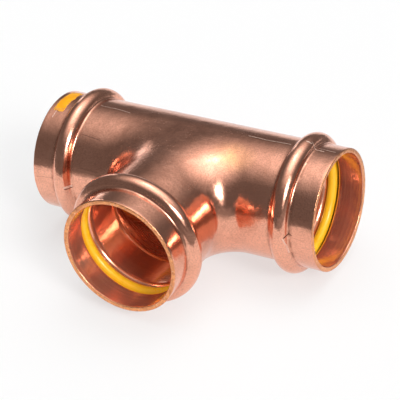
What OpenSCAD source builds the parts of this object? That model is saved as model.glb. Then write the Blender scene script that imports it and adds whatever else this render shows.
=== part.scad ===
// Equal tee with press ends for 35 mm copper gas pipe.
// The run lies along X, the branch points along -Y, and the tee rests on its three beads at z = 0.
// Each arm is a socket: a lead-in, a bead that holds a seal ring, a guide bore and a pipe stop.

/* [Body] */
// Half of the length of the run, from the branch axis to either mouth
half_run = 49.5; // [49:0.5:60]
// Distance from the run axis to the branch mouth
branch_len = 48.2; // [48:0.2:60]
// Outside radius of the tube wall
wall_r = 19.25; // [19.15:0.05:19.4]
// Radius of the waterway between the pipe stops
way_r = 17.1; // [16.6:0.1:17.3]

/* [Sockets] */
// Radius of the socket bore that guides the pipe
bore_r = 17.65; // [17.55:0.01:17.75]
// Depth of the socket from its mouth to the pipe stop
depth = 25.3; // [24.5:0.1:25.6]
// Chamfer on the inner edge of each mouth
mouth_in = 0.4; // [0.1:0.1:0.6]
// Chamfer on the outer edge of each mouth
mouth_out = 0.3; // [0.1:0.1:0.5]

/* [Bead] */
// Distance from the mouth to the bead's crest on the run
crest_run = 11.1; // [10.5:0.1:12]
// Distance from the mouth to the bead's crest on the branch
crest_branch = 10.7; // [10.5:0.1:12]
// Radius of the bead's crest about the socket axis
bead_r = 22.1; // [21.9:0.05:22.4]
// Radius of the round that forms the bead's outside
bead_round = 3.0; // [2.9:0.05:3.1]
// Radius of the fillet at each foot of the bead
foot_round = 0.8; // [0.6:0.05:1]
// Radius of the seal groove's floor about the socket axis
groove_r = 20.7; // [20.6:0.02:20.8]
// Radius of the round that forms the seal groove
groove_round = 1.65; // [1.64:0.01:1.7]
// Radius of the lips on both sides of the seal groove
lip_round = 2.1; // [1.9:0.05:2.2]

/* [Seals] */
// Inner radius of each seal ring
seal_in = 17.45; // [17.44:0.01:17.5]
// Radius of the seal ring's round section
seal_round = 1.6; // [1.55:0.01:1.6]

/* [Junction] */
// Width of the crotch fillet at mid height
crotch_mid = 6.0; // [4:0.5:7]
// Width that the crotch fillet gains from mid height up to the saddle
crotch_high = 10.8; // [8:0.2:12]
// Width of the rounding inside the crotch
crotch_in = 5.0; // [3:0.5:5]

/* [Mark] */
// Length of the coloured mark along the run
mark_l = 4.2; // [3:0.2:5]
// Angle that the coloured mark spans around the socket
mark_a = 40; // [20:1:60]
// Distance from the mouth to the coloured mark
mark_gap = 1.3; // [1:0.1:2]

/* [Hidden] */
$fn = 96;

// Depth by which the fillet solids are sunk into the cylinders they blend
sink = 0.03;
// Overlap by which a foot's round bites the bead and the wall, so that the curves cross cleanly
bite = 0.002;
// Run axis in the part's frame: the box's middle in Y is the origin, and the beads stand at z = 0
axis_y = (branch_len - bead_r) / 2;
axis_z = bead_r;
copper = [0.80, 0.50, 0.38];
seal_yellow = [0.98, 0.74, 0.15];

// ---- profiles, with x as the radius and y as the distance along the socket axis ----

// A round rib on a wall of radius base, its crest at radius top, with a foot on each side
module rib(base, top, round, foot) {
    c = top - round;
    f = foot + base - bite;
    span = sqrt(pow(round + foot - bite, 2) - pow(f - c, 2));
    difference() {
        union() {
            translate([c, 0]) circle(r = round);
            polygon([[base - 1, -span], [base - 1, span], [base, span], [f, span], [c, 0], [f, -span], [base, -span]]);
        }
        for (s = [-1, 1]) translate([f, s * span]) circle(r = foot);
    }
}

// Outside of one arm, from the crossing of the axes to the mouth
module arm_outside(len, crest) {
    polygon([[0, 0], [wall_r, 0], [wall_r, len - mouth_out], [wall_r - mouth_out, len], [0, len]]);
    translate([0, len - crest]) rib(wall_r, bead_r, bead_round, foot_round);
}

// Hollow of one arm, from the crossing of the axes to past the mouth
module arm_hollow(len, crest) {
    stop = len - depth;
    polygon([
        [0, 0], [way_r, 0], [way_r, stop - (bore_r - way_r)], [bore_r, stop], [bore_r, len - mouth_in],
        [bore_r + mouth_in + 1, len + 1], [0, len + 1]
    ]);
    translate([0, len - crest]) rib(bore_r, groove_r, groove_round, lip_round);
}

module along_run() { rotate([0, 90, 0]) children(); }
module along_branch() { rotate([90, 0, 0]) children(); }

// ---- blends between two crossing cylinders of equal radius r ----

// Width of the outer fillet at angle t above the plane of the axes
function w_out(t) = crotch_mid + crotch_high * pow(abs(sin(t)), 2.4);
// Width of the inner rounding at angle t
function w_in(t) = (way_r + crotch_in - way_r * cos(t)) * cos(t);

// Corners of one level section: an arc that touches both cylinders, closed through a point in the corner
function level(r, t, w, arcs) =
    let (c = r * cos(t), m = c + w - sink / cos(t))
    concat(
        [for (j = [0:arcs]) let (a = 90 * j / arcs) [m - w * sin(a), -(m - w * cos(a)), r * sin(t)]],
        [[c - 0.9, -(c - 0.9), r * sin(t)]]
    );

// Solid that fills the crotch on the +X side between the run and the branch
module blend(r, outer, levels = 34, arcs = 10, limit = 86) {
    k = arcs + 2;
    ang = [for (i = [0:levels]) limit * sin(90 * (2 * i / levels - 1))];
    pts = [for (t = ang) each level(r, t, outer ? w_out(t) : w_in(t), arcs)];
    sides = [for (i = [0:levels - 1], j = [0:k - 1])
        let (a = i * k + j, b = i * k + (j + 1) % k, c = (i + 1) * k + (j + 1) % k, d = (i + 1) * k + j)
        each [[a, b, c], [a, c, d]]];
    low = [for (j = [0:arcs - 1]) [k - 1, j + 1, j]];
    n = levels * k;
    high = [for (j = [0:arcs - 1]) [n + k - 1, n + j, n + j + 1]];
    polyhedron(points = pts, faces = concat(sides, low, high));
}

// ---- pieces ----

module at_axes() { translate([0, axis_y, axis_z]) children(); }

// One-piece copper body: both run sockets, the branch socket and the waterway
module tee_body() {
    color(copper) at_axes() difference() {
        union() {
            along_run() rotate_extrude() {
                arm_outside(half_run, crest_run);
                mirror([0, 1]) arm_outside(half_run, crest_run);
            }
            along_branch() rotate_extrude() arm_outside(branch_len, crest_branch);
            blend(wall_r, true);
            mirror([1, 0, 0]) blend(wall_r, true);
        }
        along_run() rotate_extrude() {
            arm_hollow(half_run, crest_run);
            mirror([0, 1]) arm_hollow(half_run, crest_run);
        }
        along_branch() rotate_extrude() arm_hollow(branch_len, crest_branch);
        blend(way_r, false);
        mirror([1, 0, 0]) blend(way_r, false);
    }
}

// Elastomer ring of round section that sits in a bead
module seal() {
    color(seal_yellow) rotate_extrude() translate([seal_in + seal_round, 0]) circle(r = seal_round);
}

module run_seal_left() { at_axes() translate([-(half_run - crest_run), 0, 0]) along_run() seal(); }
module run_seal_right() { at_axes() translate([half_run - crest_run, 0, 0]) along_run() seal(); }
module branch_seal() { at_axes() translate([0, -(branch_len - crest_branch), 0]) along_branch() seal(); }

// Thin coloured patch printed on top of the left lead-in
module gas_mark() {
    a = mark_a / 2;
    color(seal_yellow) at_axes() translate([-half_run + mark_gap, 0, 0]) intersection() {
        along_run() difference() {
            cylinder(r = wall_r + 0.085, h = mark_l);
            translate([0, 0, -1]) cylinder(r = wall_r + 0.005, h = mark_l + 2);
        }
        translate([-1, 0, 0]) rotate([90, 0, 90]) linear_extrude(height = mark_l + 2)
            polygon([[0, 0], [-30 * sin(a), 30 * cos(a)], [30 * sin(a), 30 * cos(a)]]);
    }
}

tee_body();
run_seal_left();
run_seal_right();
branch_seal();
gas_mark();
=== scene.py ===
"""The looks of the press-fit copper gas tee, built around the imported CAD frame. Metres, +X along the run, -Y along the branch, Z up."""
import math

import bpy
import numpy as np
from mathutils import Matrix, Vector

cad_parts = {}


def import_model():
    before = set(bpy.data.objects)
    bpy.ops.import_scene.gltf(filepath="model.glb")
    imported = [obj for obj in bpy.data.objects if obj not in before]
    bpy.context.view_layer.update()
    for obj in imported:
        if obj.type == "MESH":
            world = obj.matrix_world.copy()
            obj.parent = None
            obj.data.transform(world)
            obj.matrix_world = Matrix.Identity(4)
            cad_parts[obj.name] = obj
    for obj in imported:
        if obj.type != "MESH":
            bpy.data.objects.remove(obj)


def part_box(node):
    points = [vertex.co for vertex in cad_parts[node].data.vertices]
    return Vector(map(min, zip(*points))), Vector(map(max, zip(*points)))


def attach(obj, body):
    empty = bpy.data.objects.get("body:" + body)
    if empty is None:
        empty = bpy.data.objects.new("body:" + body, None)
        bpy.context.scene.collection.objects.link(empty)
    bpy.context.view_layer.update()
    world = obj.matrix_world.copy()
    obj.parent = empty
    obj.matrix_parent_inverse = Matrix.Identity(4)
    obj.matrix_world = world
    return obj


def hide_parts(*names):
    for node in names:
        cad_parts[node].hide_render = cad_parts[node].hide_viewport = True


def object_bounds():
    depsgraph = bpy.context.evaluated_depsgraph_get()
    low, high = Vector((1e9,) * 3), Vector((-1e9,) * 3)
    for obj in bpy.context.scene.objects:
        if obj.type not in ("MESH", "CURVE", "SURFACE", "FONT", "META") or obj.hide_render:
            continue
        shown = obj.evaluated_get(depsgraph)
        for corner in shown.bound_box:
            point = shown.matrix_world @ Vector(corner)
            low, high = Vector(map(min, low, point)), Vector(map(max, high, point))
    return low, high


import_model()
cad_box = [list(map(float, p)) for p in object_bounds()]

# ---------------------------------------------------------------- sizes, in mm, about the crossing of the two axes
MM = 0.001
LO, HI = (Vector(p) for p in cad_box)
HALF_RUN = (HI.x - LO.x) / 2 / MM
BEAD_R = (HI.z - LO.z) / 2 / MM
AXIS_Z = (HI.z + LO.z) / 2 / MM
AXIS_Y = HI.y / MM - BEAD_R
BRANCH = AXIS_Y - LO.y / MM
WALL_R, WAY_R, BORE_R = 19.25, 17.1, 17.65
STOP_DEPTH, STOP_STEP = 25.3, 0.55
CREST_RUN, CREST_BRANCH = 11.1, 10.7
BEAD_ROUND, FOOT_ROUND = 3.0, 0.8
GROOVE_R, GROOVE_ROUND, LIP_ROUND = 20.7, 1.65, 2.1
MOUTH_IN, MOUTH_OUT = 0.4, 0.3
ORIGIN = np.array([0.0, AXIS_Y, AXIS_Z])
ROWS = 96
TINT = (18.5, -9.0, 17.0)


# ---------------------------------------------------------------- smooth repeatable noise
def waves(seed, count, short, long):
    rng = np.random.default_rng(seed)
    way = rng.normal(size=(count, 3))
    way /= np.linalg.norm(way, axis=1)[:, None]
    size = np.exp(rng.uniform(np.log(short), np.log(long), count))
    k = way * (2 * np.pi / size)[:, None]
    ph = rng.uniform(0, 2 * np.pi, count)
    amp = size / size.max()

    def f(p):
        return (np.sin(p @ k.T + ph) * amp).sum(-1) / np.sqrt((amp**2).sum() / 2) / 2.2

    return f


ripple = waves(3, 40, 5.0, 22.0)
dents = waves(8, 40, 9.0, 30.0)
burr = waves(5, 60, 0.6, 3.5)


# ---------------------------------------------------------------- profiles: lists of (distance from crossing, radius)
def arc(cx, cy, r, a0, a1, n):
    a = np.radians(np.linspace(a0, a1, n + 1))
    return [(cx + r * math.cos(t), cy + r * math.sin(t)) for t in a]


def rib_arcs(base, top, rnd, foot, n_foot, n_top):
    """The rib's outline from its mouth side to its inner side, centred at 0: foot, crest, foot."""
    c, f = top - rnd, foot + base
    span = math.sqrt((rnd + foot) ** 2 - (f - c) ** 2)
    lean = math.degrees(math.atan2(f - c, span))
    out = arc(span, f, foot, 270, 180 + lean, n_foot)
    out += arc(0, c, rnd, lean, 180 - lean, n_top)[1:]
    out += arc(-span, f, foot, -lean, -90, n_foot)[1:]
    return out, span


def cosine(a, b, n):
    t = (1 - np.cos(np.linspace(0, np.pi, n + 1))) / 2
    return a + (b - a) * t


def outer_profile(length, crest):
    """From the middle of the mouth's rim to the last fixed column behind the bead."""
    at = length - crest
    rib, span = rib_arcs(WALL_R, BEAD_R, BEAD_ROUND, FOOT_ROUND, 7, 26)
    rim = [(length, r) for r in np.linspace((BORE_R + WALL_R) / 2, WALL_R - MOUTH_OUT - 0.05, 4)]
    edge = [
        (length - 0.03, WALL_R - MOUTH_OUT * 0.62),
        (length - MOUTH_OUT * 0.42, WALL_R - 0.1),
        (length - MOUTH_OUT * 0.8, WALL_R - 0.02),
        (length - MOUTH_OUT * 1.3, WALL_R),
    ]
    lead = [(t, WALL_R) for t in np.linspace(length - MOUTH_OUT * 1.3, at + span, 10)[1:-1]]
    return rim + edge + lead + [(at + t, r) for t, r in rib]


def inner_profile(length, crest):
    at = length - crest
    rib, span = rib_arcs(BORE_R, GROOVE_R, GROOVE_ROUND, LIP_ROUND, 12, 18)
    rim = [(length, r) for r in np.linspace((BORE_R + WALL_R) / 2, BORE_R + MOUTH_IN + 0.05, 4)]
    edge = [
        (length - 0.04, BORE_R + MOUTH_IN * 0.66),
        (length - MOUTH_IN * 0.5, BORE_R + 0.12),
        (length - MOUTH_IN * 0.9, BORE_R + 0.025),
        (length - MOUTH_IN * 1.4, BORE_R),
    ]
    # the front wall of the groove stands a little clear of the ring
    gap = 0.30 if crest == CREST_RUN else 0.14
    rib = [(t + gap * min(1.0, max(0.0, t / 0.8)), r) for t, r in rib]
    lead = [(t, BORE_R) for t in np.linspace(length - MOUTH_IN * 1.4, at + span + gap, 6)[1:-1]]
    stop = length - STOP_DEPTH
    guide = [(t, BORE_R) for t in np.linspace(at - span, stop + 0.12, 10)[1:]]
    step = [
        (stop + 0.03, BORE_R - 0.02),
        (stop - 0.04, BORE_R - 0.07),
        (stop - STOP_STEP + 0.06, WAY_R + 0.04),
        (stop - STOP_STEP - 0.04, WAY_R + 0.008),
        (stop - STOP_STEP - 0.16, WAY_R),
    ]
    return rim + edge + lead + [(at + t, r) for t, r in rib] + guide + step


def w_out(t):
    return 6.0 + 10.8 * abs(np.sin(t)) ** 2.4


def w_in(t):
    return (WAY_R + 5.0 - WAY_R * np.cos(t)) * np.cos(t)


# ---------------------------------------------------------------- the body's wall as one welded grid
def wall(profile_of, radius, blend, n_straight, n_arc, n_web=10):
    """Sheets of rows of points: right front, left front, the level webs at top and bottom where there are any, and
    back. Returns them as (points, flip) pairs.
    """
    pr = profile_of(HALF_RUN, CREST_RUN)
    pb = profile_of(BRANCH, CREST_BRANCH)
    theta = np.radians(np.linspace(-90, 90, ROWS + 1))
    theta[0], theta[-1] = -np.pi / 2, np.pi / 2
    sheets = []
    ct, st = np.cos(theta), np.sin(theta)
    ct[0] = ct[-1] = 0.0
    w = blend(theta)
    if w[-1] < 1e-6:
        w[0] = w[-1] = 0.0
    top = w[-1]
    c = radius * ct
    for side in (1, -1):
        cols = []
        for t, r in pb:
            cols.append(np.stack([side * r * ct, np.full_like(ct, -t), r * st], 1))
        t0 = pb[-1][0]
        for s in np.linspace(0, 1, n_straight + 1)[1:]:
            t = t0 + (c + w - t0) * s
            cols.append(np.stack([side * c, -t, radius * st], 1))
        for a in np.radians(np.linspace(0, 90, n_arc + 1))[1:]:
            x = c + w - w * math.cos(a)
            y = -(c + w) + w * math.sin(a)
            cols.append(np.stack([side * x, y, radius * st], 1))
        t1 = pr[-1][0]
        for s in np.linspace(0, 1, n_straight + 1)[1:]:
            t = (c + w) + (t1 - (c + w)) * s
            cols.append(np.stack([side * t, -c, radius * st], 1))
        for t, r in pr[::-1][1:]:
            cols.append(np.stack([np.full_like(ct, side * t), -r * ct, r * st], 1))
        sheets.append((np.stack(cols, 1), side < 0))
        # the level webs at the very top and bottom, between the last arc and the crossing of the axes
        if top > 0:
            for z in (1, -1):
                web = []
                for a in np.radians(np.linspace(0, 90, n_arc + 1)):
                    x, y = top - top * math.cos(a), -top + top * math.sin(a)
                    web.append([(side * x * (1 - k), y * (1 - k), z * radius) for k in np.linspace(0, 1, n_web + 1)])
                sheets.append((np.array(web), (side > 0) == (z > 0)))
    cols = []
    t1 = pr[-1][0]
    for t, r in pr:
        cols.append(np.stack([np.full_like(ct, -t), r * ct, r * st], 1))
    xs = [-(t1 + (top - t1) * k) for k in np.linspace(0, 1, n_straight + 1)[1:]]
    if top > 0:
        xs += [-top * (1 - k) for k in np.linspace(0, 1, n_web + 1)[1:]]
    xs += [-v for v in xs[-2::-1]] + [t1]
    for v in xs:
        cols.append(np.stack([np.full_like(ct, v), c, radius * st], 1))
    for t, r in pr[::-1][1:]:
        cols.append(np.stack([np.full_like(ct, t), r * ct, r * st], 1))
    sheets.append((np.stack(cols, 1), True))
    return sheets


def weld(sheets_list):
    """Joins the sheets where their points meet. sheets_list holds (points, flip, tag)."""
    pts, quads, tags = [], [], []
    base = 0
    for grid, flip, tag in sheets_list:
        m, n, _ = grid.shape
        idx = base + np.arange(m * n).reshape(m, n)
        q = np.stack([idx[:-1, :-1], idx[:-1, 1:], idx[1:, 1:], idx[1:, :-1]], -1).reshape(-1, 4)
        if flip:
            q = q[:, ::-1]
        pts.append(grid.reshape(-1, 3))
        quads.append(q)
        tags.append(np.full(m * n, tag, float))
        base += m * n
    pts, quads, tags = np.concatenate(pts), np.concatenate(quads), np.concatenate(tags)
    key = np.round(pts / 2e-4).astype(np.int64)
    _, first, inverse = np.unique(key, axis=0, return_index=True, return_inverse=True)
    inverse = inverse.reshape(-1)
    sums = np.zeros(len(first))
    np.maximum.at(sums, inverse, tags)
    lows = np.full(len(first), 9.0)
    np.minimum.at(lows, inverse, tags)
    faces = []
    for q in inverse[quads]:
        f = [int(v) for i, v in enumerate(q) if v != q[i - 1]]
        if len(set(f)) == len(f) and len(f) >= 3:
            faces.append(f)
    return pts[first], faces, (sums + lows) / 2


def mesh_object(name, points_mm, faces, smooth=True):
    me = bpy.data.meshes.new(name)
    me.from_pydata([tuple(p) for p in (points_mm + ORIGIN) * MM], [], faces)
    me.update()
    ob = bpy.data.objects.new(name, me)
    bpy.context.scene.collection.objects.link(ob)
    if smooth:
        me.polygons.foreach_set("use_smooth", [True] * len(me.polygons))
    return ob


def add_attr(ob, name, values):
    a = ob.data.attributes.new(name, "FLOAT", "POINT")
    a.data.foreach_set("value", np.asarray(values, np.float32))


# wear on the run: (tone, width in mm, then (x in mm, degrees up from the front) along the mark); tone 1 is dark, -1 bright
WEAR = [
    (-1, 0.20, (19.3, 92.1), (26.4, 91.6), (33.4, 92.8)),
    (1, 0.24, (17.6, 96.0), (25.0, 95.4), (32.8, 96.9)),
    (0.8, 0.22, (-34.2, 93.4), (-27.0, 92.8), (-20.0, 90.4)),
    (-1, 0.12, (-33.6, 90.6), (-27.0, 90.4), (-22.4, 88.6)),
    (-1, 0.18, (-46.6, 71.2), (-46.8, 62.6)),
    (0.8, 0.30, (-36.5, -1.9), (-35.0, -2.1)),
    (-1, 0.62, (-36.4, -0.2), (-35.1, -0.4)),
    (0.45, 0.12, (-48.6, 1.2), (-46.0, 2.4), (-42.4, 3.2)),
    (1, 0.12, (-33.9, 52.0), (-26.9, 50.0)),
    (0.9, 0.34, (40.9, 1.2), (41.7, 3.2)),
    (0.9, 0.26, (41.7, 4.0), (42.7, 2.4)),
    (0.9, 0.14, (41.7, 3.0), (41.65, 6.0)),
    (0.40, 0.11, (42.9, 0.4), (47.2, -1.4)),
    (0.22, 0.07, (43.0, -4.0), (45.2, -4.6)),
    (0.38, 0.10, (43.4, -7.4), (48.0, -8.3)),
    (0.20, 0.07, (44.2, -13.4), (47.0, -14.0)),
    (-0.6, 0.22, (40.6, 0.5), (41.2, -7.0), (41.4, -17.5)),
    (-1, 0.30, (39.3, 90.4), (40.5, 91.8)),
    (-1, 0.20, (40.4, 94.0), (42.2, 92.4), (44.6, 92.0)),
    (0.7, 0.22, (36.8, 96.0), (38.4, 99.0), (39.6, 96.0)),
    (-1, 0.12, (42.4, 96.0), (48.0, 95.0)),
    (1, 0.10, (-32.0, 20.0), (-25.0, 19.2)),
]


def build_body():
    outs = wall(outer_profile, WALL_R, w_out, 18, 26)
    ins = wall(inner_profile, WAY_R, w_in, 9, 16)
    parts = [(g, f, 0.0) for g, f in outs] + [(g, not f, 1.0) for g, f in ins]
    pts, faces, inner = weld(parts)
    x, y, z = pts.T
    on_branch = (-y > abs(x)).astype(float)
    # how far behind the mouth plane, in mm
    deep = np.where(-y > abs(x), BRANCH + y, HALF_RUN - abs(x))
    radial = np.where(-y > abs(x), np.hypot(x, z), np.hypot(y, z))
    rim = np.clip(1 - deep / 0.35, 0, 1)
    # inward-only unevenness of the drawn wall; the mouths and the feet keep their place
    me = mesh_object("tee_copper_body", pts, faces)
    me.data.update()
    normals = np.array([v.normal for v in me.data.vertices])
    fade = np.clip(deep / 2.5, 0, 1)
    f1, f2 = ripple(pts), dents(pts + 31.0)
    low = np.clip((z + 18.6) / 2.0, 0, 1)
    push = -(0.028 * (0.5 + 0.5 * f1).clip(0, 1) + 0.03 * (0.5 + 0.5 * f2).clip(0, 1)) * fade * low
    push = np.where(inner > 0.5, -push, push) * (1 - rim)
    moved = pts + normals * push[:, None]
    # the saw-cut rims: a fine uneven edge, only ever cut back from the mouth plane
    cut = rim * (0.05 + 0.05 * burr(pts * 1.0)).clip(0, 0.12)
    way = np.stack([np.where(on_branch > 0, 0, np.sign(x)), np.where(on_branch > 0, -1.0, 0), np.zeros_like(x)], 1)
    moved -= way * cut[:, None]
    co = ((moved + ORIGIN) * MM).astype(np.float32)
    me.data.vertices.foreach_set("co", co.ravel())
    me.data.update()
    reach = np.hypot(x, (y + 8.0) * 0.8)
    crest = np.where(on_branch > 0, CREST_BRANCH, CREST_RUN)
    span = rib_arcs(WALL_R, BEAD_R, BEAD_ROUND, FOOT_ROUND, 7, 26)[1]
    foot = np.maximum(np.exp(-(((deep - crest + span) / 0.45) ** 2)), 0.7 * np.exp(-(((deep - crest - span) / 0.45) ** 2)))
    tint = np.linalg.norm((pts - np.array(TINT)) * [0.75, 1.0, 1.0], axis=1)
    for name, values in (
        ("inner", inner),
        ("rim", rim),
        ("deep", deep),
        # the hollow of the seal groove, which the copper material paints near-black as painted shade
        ("groove", np.clip((radial - BORE_R - 0.9) / 0.6, 0, 1) * (inner > 0.9) * (deep > 4)),
        # 1 where the wall was bulged into the branch: the saddle, the crotch and the neck
        ("formed", np.clip((31.0 - reach) / 12.0, 0, 1) * (inner < 0.5) * np.clip((deep - 13.0) / 3.0, 0, 1)),
        # 1 on the branch tube, 0 on the run, blended across the crotch
        ("branch", np.clip((-y - abs(x)) / 7.0 + 0.5, 0, 1)),
        # 1 in the corner at each foot of a bead, where the copper material paints shade
        ("foot", foot * (inner < 0.5)),
        # a straw tint from heat beside the right crotch
        ("tint", np.clip(1 - tint / 6.5, 0, 1) * (inner < 0.5)),
    ):
        add_attr(me, name, values)
    return me


# ---------------------------------------------------------------- node helpers
class Nodes:
    def __init__(self, name):
        self.mat = bpy.data.materials.new(name)
        self.mat.use_nodes = True
        self.t = self.mat.node_tree
        self.t.nodes.clear()
        self.out = self.t.nodes.new("ShaderNodeOutputMaterial")
        self.bsdf = self.t.nodes.new("ShaderNodeBsdfPrincipled")
        self.t.links.new(self.bsdf.outputs[0], self.out.inputs["Surface"])
        self.coord = self.t.nodes.new("ShaderNodeTexCoord").outputs["Object"]

    def link(self, a, b):
        self.t.links.new(a, b)

    def attr(self, name):
        n = self.t.nodes.new("ShaderNodeAttribute")
        n.attribute_name = name
        return n.outputs["Fac"]

    def math(self, op, a, b=None, c=None, clamp=False):
        n = self.t.nodes.new("ShaderNodeMath")
        n.operation = op
        n.use_clamp = clamp
        for i, v in enumerate((a, b, c)):
            if v is None:
                continue
            if isinstance(v, (int, float)):
                n.inputs[i].default_value = v
            else:
                self.link(v, n.inputs[i])
        return n.outputs[0]

    def ramp(self, value, lo, hi, to_lo=0.0, to_hi=1.0, smooth=True):
        n = self.t.nodes.new("ShaderNodeMapRange")
        n.interpolation_type = "SMOOTHSTEP" if smooth else "LINEAR"
        n.inputs["From Min"].default_value = lo
        n.inputs["From Max"].default_value = hi
        n.inputs["To Min"].default_value = to_lo
        n.inputs["To Max"].default_value = to_hi
        self.link(value, n.inputs["Value"])
        return n.outputs["Result"]

    def scaled(self, sx, sy, sz, off=(0, 0, 0)):
        n = self.t.nodes.new("ShaderNodeMapping")
        n.vector_type = "POINT"
        n.inputs["Scale"].default_value = (sx, sy, sz)
        n.inputs["Location"].default_value = off
        self.link(self.coord, n.inputs["Vector"])
        return n.outputs["Vector"]

    def noise(self, scale, detail=4.0, rough=0.55, dist=0.0, vec=None):
        n = self.t.nodes.new("ShaderNodeTexNoise")
        n.inputs["Scale"].default_value = scale
        n.inputs["Detail"].default_value = detail
        n.inputs["Roughness"].default_value = rough
        n.inputs["Distortion"].default_value = dist
        self.link(vec if vec is not None else self.coord, n.inputs["Vector"])
        return n.outputs["Fac"]

    def voronoi(self, scale, feature="F1", vec=None, rand=1.0):
        n = self.t.nodes.new("ShaderNodeTexVoronoi")
        n.feature = feature
        n.inputs["Scale"].default_value = scale
        n.inputs["Randomness"].default_value = rand
        self.link(vec if vec is not None else self.coord, n.inputs["Vector"])
        return n.outputs["Distance"]

    def mix(self, fac, a, b):
        n = self.t.nodes.new("ShaderNodeMix")
        n.data_type = "RGBA"
        for s, v in ((n.inputs[0], fac), (n.inputs[6], a), (n.inputs[7], b)):
            if isinstance(v, (int, float)):
                s.default_value = v
            elif isinstance(v, tuple):
                s.default_value = (*v, 1.0)
            else:
                self.link(v, s)
        return n.outputs[2]

    def lerp(self, fac, a, b):
        n = self.t.nodes.new("ShaderNodeMix")
        n.data_type = "FLOAT"
        for s, v in ((n.inputs[0], fac), (n.inputs[2], a), (n.inputs[3], b)):
            if isinstance(v, (int, float)):
                s.default_value = v
            else:
                self.link(v, s)
        return n.outputs[0]

    def bump(self, height, strength, distance, normal=None):
        n = self.t.nodes.new("ShaderNodeBump")
        n.inputs["Strength"].default_value = strength
        n.inputs["Distance"].default_value = distance
        self.link(height, n.inputs["Height"])
        if normal is not None:
            self.link(normal, n.inputs["Normal"])
        return n.outputs["Normal"]


def wear(m, inner):
    """How far a point lies in a dark and in a bright mark of WEAR, measured on the run's unrolled outside in mm."""
    sep = m.t.nodes.new("ShaderNodeSeparateXYZ")
    m.link(m.coord, sep.inputs[0])
    out = m.math("SUBTRACT", AXIS_Y * MM, sep.outputs["Y"])
    up = m.math("SUBTRACT", sep.outputs["Z"], AXIS_Z * MM)
    wander = m.math("MULTIPLY", m.math("SUBTRACT", m.noise(700, 3, 0.6), 0.5), 0.35)
    q = m.t.nodes.new("ShaderNodeCombineXYZ")
    m.link(m.math("MULTIPLY", sep.outputs["X"], 1000.0), q.inputs[0])
    m.link(m.math("ADD", m.math("MULTIPLY", m.math("ARCTAN2", up, out), WALL_R), wander), q.inputs[1])
    q = q.outputs[0]

    def vec(op, a, b=None, scale=None):
        n = m.t.nodes.new("ShaderNodeVectorMath")
        n.operation = op
        for v, i in ((a, 0), (b, 1)):
            if isinstance(v, tuple):
                n.inputs[i].default_value = v
            elif v is not None:
                m.link(v, n.inputs[i])
        if scale is not None:
            m.link(scale, n.inputs["Scale"])
        return n.outputs["Value"] if op in ("DOT_PRODUCT", "LENGTH") else n.outputs["Vector"]

    total = {True: 0.0, False: 0.0}
    for value, width, *line in WEAR:
        ends = [(x, math.radians(d) * WALL_R) for x, d in line]
        for (x0, y0), (x1, y1) in zip(ends, ends[1:]):
            dx, dy = x1 - x0, y1 - y0
            size = dx * dx + dy * dy
            v = vec("SUBTRACT", q, (x0, y0, 0.0))
            h = m.math("MINIMUM", m.math("MAXIMUM", vec("DOT_PRODUCT", v, (dx / size, dy / size, 0.0)), 0.0), 1.0)
            d = vec("LENGTH", vec("SUBTRACT", v, vec("SCALE", (dx, dy, 0.0), None, h)))
            mask = m.ramp(d, width * 0.25, width * 0.75, abs(value), 0.0)
            total[value > 0] = m.math("MAXIMUM", total[value > 0], mask)
    outside = m.math("SUBTRACT", 1.0, inner)
    return m.math("MULTIPLY", total[True], outside), m.math("MULTIPLY", total[False], outside)


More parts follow.
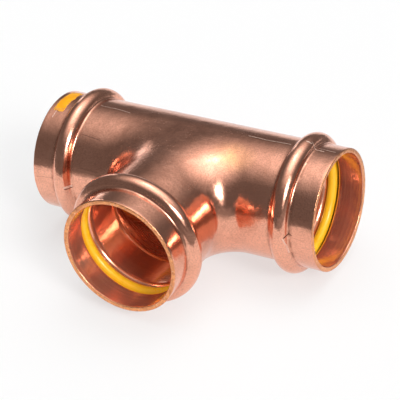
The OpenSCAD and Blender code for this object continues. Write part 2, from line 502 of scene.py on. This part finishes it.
def copper():
    m = Nodes("copper_satin")
    inner, rim, branch, deep = m.attr("inner"), m.attr("rim"), m.attr("branch"), m.attr("deep")
    # streaks along each tube's axis, from drawing, and around it, from forming and pickling
    along_run = m.noise(1.0, 5, 0.6, vec=m.scaled(45, 900, 900))
    along_branch = m.noise(1.0, 5, 0.6, vec=m.scaled(900, 45, 900))
    along = m.lerp(branch, along_run, along_branch)
    around_run = m.noise(1.0, 6, 0.62, vec=m.scaled(1500, 30, 30))
    around_branch = m.noise(1.0, 6, 0.62, vec=m.scaled(30, 1500, 30))
    around = m.lerp(branch, around_run, around_branch)
    cloud = m.noise(55, 4, 0.55, 0.4)
    patch = m.noise(140, 5, 0.62, 0.6)
    grain = m.noise(2600, 3, 0.6)
    speck = m.voronoi(1500)
    # colour: pinkish satin copper, browner where it is a little oxidised, redder inside
    base = m.mix(m.ramp(cloud, 0.35, 0.68), (0.87, 0.41, 0.28), (0.93, 0.455, 0.318))
    base = m.mix(m.ramp(patch, 0.5, 0.78, 0, 0.5), base, (0.64, 0.28, 0.175))
    base = m.mix(m.ramp(along, 0.52, 0.75, 0, 0.35), base, (0.68, 0.32, 0.21))
    pits = m.math("MULTIPLY", m.ramp(speck, 0.0, 0.22, 1, 0), m.ramp(m.noise(260, 2), 0.55, 0.72))
    base = m.mix(m.math("MULTIPLY", pits, 0.55), base, (0.30, 0.15, 0.10))
    inside = m.mix(m.ramp(around, 0.4, 0.66), (0.88, 0.385, 0.24), (0.95, 0.47, 0.31))
    inside = m.mix(m.ramp(cloud, 0.5, 0.75, 0, 0.4), inside, (0.64, 0.27, 0.165))
    lead = m.math("MULTIPLY", m.ramp(deep, 8.5, 9.5, 1, 0), m.math("SUBTRACT", 1.0, branch))
    inside = m.mix(m.math("MULTIPLY", lead, 0.45), inside, (0.55, 0.235, 0.165))
    # beyond the stop the wall is duller, and painted darker as shade deep in the bore
    inside = m.mix(m.ramp(deep, STOP_DEPTH - 0.1, STOP_DEPTH + 0.35, 0, 0.36), inside, (0.42, 0.15, 0.085))
    base = m.mix(inner, base, inside)
    cut_face_and_glints = m.mix(m.ramp(m.noise(900, 4, 0.7), 0.35, 0.7), (1.0, 0.42, 0.155), (0.60, 0.22, 0.085))
    # painted glints: pale specks on the saw-cut face
    cut_face_and_glints = m.mix(m.ramp(m.voronoi(1000), 0.0, 0.24, 0.85, 0), cut_face_and_glints, (1.0, 0.84, 0.70))
    base = m.mix(m.math("MULTIPLY", rim, 0.9), base, cut_face_and_glints)
    # painted shade: the hollow of the seal groove is painted near-black
    base = m.mix(m.attr("groove"), base, (0.045, 0.018, 0.010))
    # painted shade: a dark, noise-mottled line in the corner at each foot of a bead
    foot_shade = m.math("MULTIPLY", m.attr("foot"), m.ramp(m.noise(420, 4, 0.6), 0.40, 0.62, 0.15, 0.75))
    base = m.mix(foot_shade, base, (0.22, 0.085, 0.05))
    base = m.mix(m.math("MULTIPLY", m.attr("tint"), 0.55), base, (0.93, 0.47, 0.13))
    # a thin brown film and orange peel where the wall was formed, and fine grain all over
    formed = m.attr("formed")
    peel = m.noise(1150, 3, 0.6)
    dots = m.ramp(m.voronoi(700), 0.0, 0.30, 1, 0)
    film = m.math("MULTIPLY", formed, m.ramp(m.noise(210, 4, 0.6), 0.38, 0.60, 0.10, 0.50))
    base = m.mix(film, base, (0.60, 0.265, 0.175))
    base = m.mix(m.math("MULTIPLY", m.ramp(grain, 0.44, 0.64, 0, 0.42), m.lerp(inner, 1.0, 0.5)), base, (0.50, 0.21, 0.135))
    base = m.mix(m.math("MULTIPLY", m.math("MULTIPLY", formed, dots), m.ramp(m.noise(330, 2), 0.5, 0.66, 0, 0.30)), base, (0.98, 0.56, 0.38))
    dark, bright = wear(m, inner)
    base = m.mix(dark, base, (0.06, 0.022, 0.014))
    base = m.mix(bright, base, (1.0, 0.74, 0.62))
    m.link(base, m.bsdf.inputs["Base Color"])
    m.link(m.ramp(inner, 0.5, 1.0, 1.0, 0.78), m.bsdf.inputs["Metallic"])
    rough = m.math("ADD", m.ramp(cloud, 0.3, 0.7, 0.135, 0.19), m.ramp(patch, 0.45, 0.8, -0.01, 0.07))
    rough = m.math("ADD", rough, m.ramp(along, 0.35, 0.7, -0.03, 0.04))
    rough = m.lerp(inner, rough, m.ramp(around, 0.35, 0.7, 0.12, 0.22))
    rough = m.math("ADD", rough, m.math("MULTIPLY", inner, m.ramp(deep, STOP_DEPTH - 0.1, STOP_DEPTH + 0.35, 0, 0.10)))
    rough = m.lerp(rim, rough, m.ramp(m.noise(900, 4, 0.7), 0.35, 0.7, 0.22, 0.45))
    rough = m.math("ADD", rough, m.math("MULTIPLY", formed, m.ramp(peel, 0.35, 0.7, 0.01, 0.07)))
    rough = m.math("ADD", rough, m.ramp(grain, 0.35, 0.7, -0.02, 0.035))
    rough = m.math("ADD", rough, m.math("MULTIPLY", m.math("ADD", dark, bright), 0.42))
    rough = m.math("ADD", rough, m.math("MULTIPLY", foot_shade, 0.25))
    m.link(rough, m.bsdf.inputs["Roughness"])
    h = m.math("MULTIPLY", grain, 0.9)
    h = m.math("ADD", h, m.math("MULTIPLY", m.math("MULTIPLY", formed, peel), 0.9))
    h = m.math("ADD", h, m.math("MULTIPLY", along, m.lerp(inner, 0.7, 0.1)))
    h = m.math("ADD", h, m.math("MULTIPLY", around, m.lerp(inner, 0.5, m.ramp(deep, STOP_DEPTH - 0.5, STOP_DEPTH + 0.5, 1.3, 0.12))))
    n1 = m.bump(h, 0.22, 0.00006)
    n2 = m.bump(m.noise(330, 3, 0.5), 0.34, 0.0002, n1)
    n2 = m.bump(m.math("MULTIPLY", rim, m.noise(1700, 4, 0.7)), 0.6, 0.0002, n2)
    m.link(n2, m.bsdf.inputs["Normal"])
    return m.mat


def rubber():
    m = Nodes("seal_yellow_elastomer")
    cloud = m.noise(180, 4, 0.5)
    fine = m.noise(1800, 3, 0.6)
    base = m.mix(m.ramp(cloud, 0.35, 0.7), (1.0, 0.54, 0.014), (1.0, 0.62, 0.028))
    dust = m.math("MULTIPLY", m.ramp(m.voronoi(900), 0.0, 0.10, 1, 0), m.ramp(m.noise(300, 2), 0.55, 0.7))
    base = m.mix(m.math("MULTIPLY", dust, 0.4), base, (0.60, 0.27, 0.03))
    m.link(base, m.bsdf.inputs["Base Color"])
    m.link(m.math("ADD", m.ramp(cloud, 0.3, 0.7, 0.24, 0.34), m.ramp(fine, 0.3, 0.7, 0.0, 0.05)), m.bsdf.inputs["Roughness"])
    m.bsdf.inputs["IOR"].default_value = 1.5
    # painted light: the rings glow faintly in their own yellow, so they read bright deep in the bores
    m.bsdf.inputs["Emission Color"].default_value = (1.0, 0.50, 0.022, 1)
    m.bsdf.inputs["Emission Strength"].default_value = 0.17
    m.bsdf.inputs["Coat Weight"].default_value = 0.15
    m.bsdf.inputs["Coat Roughness"].default_value = 0.12
    n = m.bump(fine, 0.12, 0.00004)
    m.link(n, m.bsdf.inputs["Normal"])
    return m.mat


def ink():
    m = Nodes("mark_yellow_ink")
    edge = m.attr("edge")
    cloud = m.noise(420, 4, 0.6)
    base = m.mix(m.ramp(cloud, 0.35, 0.7), (0.92, 0.37, 0.003), (1.0, 0.47, 0.004))
    rub = m.ramp(m.math("ADD", m.noise(1500, 5, 0.7), m.math("MULTIPLY", edge, 0.22)), 0.62, 0.80)
    base = m.mix(rub, base, (0.66, 0.33, 0.20))
    m.link(base, m.bsdf.inputs["Base Color"])
    m.link(m.ramp(cloud, 0.3, 0.7, 0.36, 0.5), m.bsdf.inputs["Roughness"])
    m.bsdf.inputs["Specular IOR Level"].default_value = 0.22
    m.link(m.math("MULTIPLY", rub, 0.85), m.bsdf.inputs["Metallic"])
    m.link(m.bump(m.noise(1300, 4, 0.6), 0.2, 0.00005), m.bsdf.inputs["Normal"])
    return m.mat


# ---------------------------------------------------------------- seals
def build_seal(name, node, axis):
    lo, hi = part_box(node)
    c = (lo + hi) / 2
    centre = np.array(c) / MM - ORIGIN
    half = np.array(hi - lo) / 2 / MM
    a = 0 if axis == "x" else 1
    section = half[a]
    ring = half[2] - section
    big, small = 256, 40
    u = np.linspace(0, 2 * np.pi, big, endpoint=False)
    v = np.linspace(0, 2 * np.pi, small, endpoint=False)
    U, V = np.meshgrid(u, v, indexing="ij")
    # a moulded ring: a hair out of round, with a fine parting line at its inner and outer edge
    wob = 0.012 * np.sin(3 * U + 0.7) + 0.008 * np.sin(7 * U + 2.1)
    part = 0.022 * np.exp(-((np.minimum(abs(V - np.pi), 9.0)) / 0.05) ** 2)
    r = section - 0.03 - 0.012 * (0.5 + 0.5 * np.sin(5 * U + 1.3)) + part
    rad = ring - 0.012 + wob * 0.5 + r * np.cos(V)
    ax = r * np.sin(V)
    if axis == "x":
        p = np.stack([ax, rad * np.cos(U), rad * np.sin(U)], -1)
    else:
        p = np.stack([rad * np.cos(U), ax, rad * np.sin(U)], -1)
    pts = p.reshape(-1, 3) + centre
    idx = np.arange(big * small).reshape(big, small)
    q = np.stack([idx, np.roll(idx, -1, 0), np.roll(np.roll(idx, -1, 0), -1, 1), np.roll(idx, -1, 1)], -1).reshape(-1, 4)
    if axis == "x":
        q = q[:, ::-1]
    return mesh_object(name, pts, [tuple(map(int, f)) for f in q])


# ---------------------------------------------------------------- the printed mark
def build_mark(name, node):
    lo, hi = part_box(node)
    x0, x1 = lo.x / MM, hi.x / MM
    half = math.asin(min(1.0, (hi.y - lo.y) / 2 / MM / (WALL_R + 0.085)))
    rng = np.random.default_rng(12)
    nx, na = 34, 72
    s = np.linspace(0, 1, nx + 1)
    t = np.linspace(0, 1, na + 1)
    Sx, T = np.meshgrid(s, t, indexing="ij")

    def line(seed, tt, amp):
        r = np.random.default_rng(seed)
        out = np.zeros_like(tt)
        for k in range(2, 15):
            out += np.sin(2 * np.pi * k * tt * 0.5 + r.uniform(0, 6.3)) * r.uniform(0.3, 1) / k
        return amp * (out - out.min()) / (out.max() - out.min())

    left = x0 + line(1, T, 0.30)
    right = x1 - line(2, T, 0.34)
    low = -half + line(3, Sx, 0.028)
    high = half - line(4, Sx, 0.05)
    X = left + (right - left) * Sx
    A = low + (high - low) * T
    top = WALL_R + 0.012 + 0.022 * (1 - np.maximum(abs(2 * Sx - 1), abs(2 * T - 1)) ** 8)
    ang = np.pi / 2 + A
    P = np.stack([X, -top * np.cos(ang), top * np.sin(ang)], -1)
    Pb = np.stack([X, -(WALL_R - 0.09) * np.cos(ang), (WALL_R - 0.09) * np.sin(ang)], -1)
    m, n = X.shape
    idx = np.arange(m * n).reshape(m, n)
    q = np.stack([idx[:-1, :-1], idx[1:, :-1], idx[1:, 1:], idx[:-1, 1:]], -1).reshape(-1, 4)
    loop = list(idx[0, :]) + list(idx[1:, -1]) + list(idx[-1, -2::-1]) + list(idx[-2:0:-1, 0])
    base = m * n
    pts = np.concatenate([P.reshape(-1, 3), Pb.reshape(-1, 3)])
    faces = [tuple(map(int, f)) for f in q] + [tuple(int(v) + base for v in f[::-1]) for f in q]
    for i, a in enumerate(loop):
        b = loop[(i + 1) % len(loop)]
        faces.append((int(a), int(b), int(b) + base, int(a) + base))
    ob = mesh_object(name, pts, faces)
    e = np.maximum(abs(2 * Sx - 1), abs(2 * T - 1)) ** 3
    add_attr(ob, "edge", np.concatenate([e.ravel(), e.ravel()]))
    return ob


body = build_body()
body.data.materials.append(copper())
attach(body, "root")
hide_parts("tee_body")

seal_mat = rubber()
for name, node, axis in (
    ("seal_ring_left", "run_seal_left", "x"),
    ("seal_ring_right", "run_seal_right", "x"),
    ("seal_ring_branch", "branch_seal", "y"),
):
    ob = build_seal(name, node, axis)
    ob.data.materials.append(seal_mat)
    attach(ob, "root")
    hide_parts(node)

mark = build_mark("printed_mark", "gas_mark")
mark.data.materials.append(ink())
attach(mark, "root")
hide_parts("gas_mark")

# ---------------------------------------------------------------- studio
floor_mesh = bpy.data.meshes.new("floor")
F = 3.0
floor_mesh.from_pydata([(-F, -F, 0), (F, -F, 0), (F, F, 0), (-F, F, 0)], [], [(0, 1, 2, 3)])
floor = bpy.data.objects.new("floor", floor_mesh)
floor.location = (0, 0, -0.0002)
bpy.context.scene.collection.objects.link(floor)
fm = bpy.data.materials.new("floor_pale")
fm.use_nodes = True
fb = fm.node_tree.nodes["Principled BSDF"]
fb.inputs["Base Color"].default_value = (0.34, 0.34, 0.34, 1)
fb.inputs["Roughness"].default_value = 0.9
fb.inputs["Specular IOR Level"].default_value = 0.1
fb.inputs["Emission Color"].default_value = (1, 1, 1, 1)
fb.inputs["Emission Strength"].default_value = 0.61
floor_mesh.materials.append(fm)


def aim(az, el):
    """The direction from the object at that azimuth (0 is -Y, 90 is +X) and elevation, in degrees."""
    a, e = math.radians(az), math.radians(el)
    return (math.sin(a) * math.cos(e), -math.cos(a) * math.cos(e), math.sin(e))


def world():
    """Soft studio light: a large overhead source, a side source, a dim room between them and a pale backdrop."""
    w = bpy.data.worlds.new("studio")
    bpy.context.scene.world = w
    w.use_nodes = True
    t = w.node_tree
    t.nodes.clear()
    out = t.nodes.new("ShaderNodeOutputWorld")
    way = t.nodes.new("ShaderNodeTexCoord").outputs["Generated"]
    sep = t.nodes.new("ShaderNodeSeparateXYZ")
    t.links.new(way, sep.inputs[0])

    def put(v, socket):
        if isinstance(v, (int, float)):
            socket.default_value = v
        else:
            t.links.new(v, socket)

    def calc(op, a, b=None, c=None):
        n = t.nodes.new("ShaderNodeMath")
        n.operation = op
        for i, v in enumerate((a, b, c)):
            if v is not None:
                put(v, n.inputs[i])
        return n.outputs[0]

    def dot(d):
        n = t.nodes.new("ShaderNodeVectorMath")
        n.operation = "DOT_PRODUCT"
        t.links.new(way, n.inputs[0])
        n.inputs[1].default_value = d
        return n.outputs["Value"]

    def curve(v, points, span=180.0):
        """Piecewise linear through (angle in degrees, value); v is in radians from 0."""
        n = t.nodes.new("ShaderNodeValToRGB")
        els = n.color_ramp.elements
        pts = [(a / span, x) for a, x in points]
        els[0].position, els[0].color = pts[0][0], (pts[0][1] / 8,) * 3 + (1,)
        els[1].position, els[1].color = pts[-1][0], (pts[-1][1] / 8,) * 3 + (1,)
        for a, x in pts[1:-1]:
            e = els.new(a)
            e.color = (x / 8,) * 3 + (1,)
        t.links.new(calc("MULTIPLY", v, 180 / math.pi / span), n.inputs["Fac"])
        return calc("MULTIPLY", n.outputs["Color"], 8.0)

    # overhead source: a bright middle and a wide soft surround, each by the angle from its own middle
    core = curve(calc("ARCCOSINE", calc("MINIMUM", dot(aim(178, 77)), 1.0)), CORE)
    wide = curve(calc("ARCCOSINE", calc("MINIMUM", dot(aim(140, 80)), 1.0)), WIDE)
    top = calc("MAXIMUM", core, wide)
    # side source: azimuth from its middle times a window in elevation
    az = calc("ADD", calc("ARCTAN2", dot(aim(53 + 90, 0)), dot(aim(53, 0))), math.pi)
    el = calc("ADD", calc("ARCSINE", sep.outputs["Z"]), math.pi / 2)
    side = calc("MULTIPLY", curve(az, SIDE_AZ, 360.0), curve(el, SIDE_EL))
    hot = calc("MULTIPLY", curve(calc("ARCCOSINE", calc("MINIMUM", dot(aim(61, 32)), 1.0)), HOT), 3.0)
    side = calc("MAXIMUM", side, hot)
    # a narrow pale strip behind on the left
    strip = calc("ABSOLUTE", calc("ARCTAN2", dot(aim(-131.5 + 90, 0)), dot(aim(-131.5, 0))))
    strip = calc("MULTIPLY", curve(strip, [(0, 1), (2.4, 1), (4.0, 0), (180, 0)]), curve(el, [(0, 0), (86, 0), (88, 2.0), (110, 1.8), (117, 0.0), (180, 0)]))
    left = calc("ABSOLUTE", calc("ARCTAN2", dot(aim(-138 + 90, 0)), dot(aim(-138, 0))))
    left = calc("MULTIPLY", curve(left, [(0, 1), (6, 1), (10, 0), (180, 0)]), curve(el, [(0, 0), (86, 0), (88, 1.0), (95, 0.9), (103, 0.0), (180, 0)]))
    side = calc("MAXIMUM", side, calc("MAXIMUM", strip, left))
    # backdrop behind the object, and the same tone all round below the horizon
    back = calc("ABSOLUTE", calc("ARCTAN2", dot(aim(203 + 90, 0)), dot(aim(203, 0))))
    drop = calc("MULTIPLY", curve(back, [(0, 1), (14, 1), (27, 0), (180, 0)]), curve(el, [(0, 0.85), (94, 0.85), (100, 0.0), (180, 0)]))
    low = curve(el, [(0, 0.85), (88, 0.85), (89, 0.165), (135, 0.165), (180, 0.2)])
    total = calc("MAXIMUM", calc("MAXIMUM", top, side), calc("MAXIMUM", drop, low))
    b1 = t.nodes.new("ShaderNodeBackground")
    t.links.new(total, b1.inputs["Color"])
    b1.inputs["Strength"].default_value = 1.0
    b2 = t.nodes.new("ShaderNodeBackground")
    b2.inputs["Color"].default_value = (0.93, 0.93, 0.93, 1)
    lp = t.nodes.new("ShaderNodeLightPath")
    mx = t.nodes.new("ShaderNodeMixShader")
    t.links.new(lp.outputs["Is Camera Ray"], mx.inputs[0])
    t.links.new(b1.outputs[0], mx.inputs[1])
    t.links.new(b2.outputs[0], mx.inputs[2])
    t.links.new(mx.outputs[0], out.inputs["Surface"])


CORE = [(0, 4.8), (4, 4.5), (7, 3.3), (10, 2.1), (14, 1.55), (20, 1.35), (26, 1.0), (32, 0.45), (38, 0.0), (180, 0.0)]
WIDE = [(0, 2.6), (10, 2.4), (18, 2.0), (26, 1.45), (33, 1.0), (40, 0.62), (48, 0.36), (56, 0.2), (66, 0.1), (180, 0.05)]
# 180 is the side source's own azimuth
SIDE_AZ = [
    (0, 0.0), (140, 0.0), (155, 0.1), (163, 0.25), (168, 0.6), (173, 2.2), (176, 5.4), (180, 7.0), (186, 6.8), (190, 4.2), (194, 1.7),
    (200, 1.15), (206, 0.6), (214, 0.32), (225, 0.12), (235, 0.0), (360, 0.0),
]
SIDE_EL = [(0, 0.0), (98, 0.0), (101, 0.14), (107, 0.17), (109, 0.3), (113, 0.8), (116, 1.0), (130, 1.0), (137, 0.5), (142, 0.36), (148, 0.2), (155, 0.13), (166, 0.0), (180, 0.0)]
HOT = [(0, 8.0), (6, 7.4), (8.5, 3.4), (11, 0.9), (14, 0.2), (17, 0.0), (180, 0.0)]
world()


def dark_card():
    """A low dark card in front, seen only in reflections: it ends the pale floor a little way off all round but behind."""
    rows = [
        (-142, 0.40), (-135, 0.28), (-120, 0.25), (-75, 0.25), (-60, 0.20), (-45, 0.18), (-30, 0.19), (-15, 0.17), (0, 0.12), (15, 0.115),
        (30, 0.11), (50, 0.11), (75, 0.145), (90, 0.165), (105, 0.16), (120, 0.135), (135, 0.11), (150, 0.14), (160, 0.20), (170, 0.30), (178, 0.42),
    ]
    pts, faces = [], []
    for a, d in rows:
        x, y, _ = aim(a, 0)
        pts += [(x * d, y * d, -0.0001), (x * (d + 0.02), y * (d + 0.02), 0.02 + d * 0.12)]
    for i in range(len(rows) - 1):
        faces.append((2 * i, 2 * i + 2, 2 * i + 3, 2 * i + 1))
    me = bpy.data.meshes.new("dark_card")
    me.from_pydata(pts, [], faces)
    # dim grey on the right, darker elsewhere
    tone = me.attributes.new("tone", "FLOAT", "POINT")
    for i, (a, _) in enumerate(rows):
        for k in (0, 1):
            tone.data[2 * i + k].value = 0.15 + 0.15 * min(1.0, max(0.0, (a - 15) / 20)) * min(1.0, max(0.0, (115 - a) / 15))
    ob = bpy.data.objects.new("dark_card", me)
    bpy.context.scene.collection.objects.link(ob)
    m = bpy.data.materials.new("card_dark")
    m.use_nodes = True
    n = m.node_tree.nodes["Principled BSDF"]
    n.inputs["Base Color"].default_value = (0.02, 0.02, 0.02, 1)
    n.inputs["Roughness"].default_value = 0.9
    n.inputs["Emission Color"].default_value = (1, 1, 1, 1)
    at = m.node_tree.nodes.new("ShaderNodeAttribute")
    at.attribute_name = "tone"
    m.node_tree.links.new(at.outputs["Fac"], n.inputs["Emission Strength"])
    me.materials.append(m)
    ob.visible_camera = False
    ob.visible_shadow = False
    ob.visible_diffuse = False


dark_card()

# ---------------------------------------------------------------- camera, solved for the viewing angle
AZ, EL, ROLL = 31.502, 32.012, -4.847
CX, CY, DIST, FPX, UNIT = 197.257, 178.02, 27.472, 1651.195, 19.02
a, e, r = math.radians(AZ), math.radians(EL), math.radians(ROLL)
back = Vector((math.sin(a) * math.cos(e), -math.cos(a) * math.cos(e), math.sin(e)))
right = Vector((0, 0, 1)).cross(back).normalized()
up = back.cross(right)
R2 = right * math.cos(r) + up * math.sin(r)
U2 = -right * math.sin(r) + up * math.cos(r)
xc, yc = (CX - 200) / FPX * DIST, (CY - 200) / FPX * DIST
pos = -(R2 * xc - U2 * yc - back * DIST) * UNIT * MM + Vector((0, AXIS_Y, AXIS_Z)) * MM
cam_data = bpy.data.cameras.new("camera")
cam_data.sensor_width = 36.0
cam_data.sensor_fit = "HORIZONTAL"
cam_data.lens = FPX / 400 * 36.0
cam_data.clip_start, cam_data.clip_end = 0.02, 20
cam = bpy.data.objects.new("camera", cam_data)
bpy.context.scene.collection.objects.link(cam)
rot = Matrix((R2, U2, back)).transposed()
cam.matrix_world = Matrix.Translation(pos) @ rot.to_4x4()
bpy.context.scene.camera = cam
bpy.context.scene.view_settings.view_transform = "Standard"
bpy.context.scene.view_settings.look = "None"
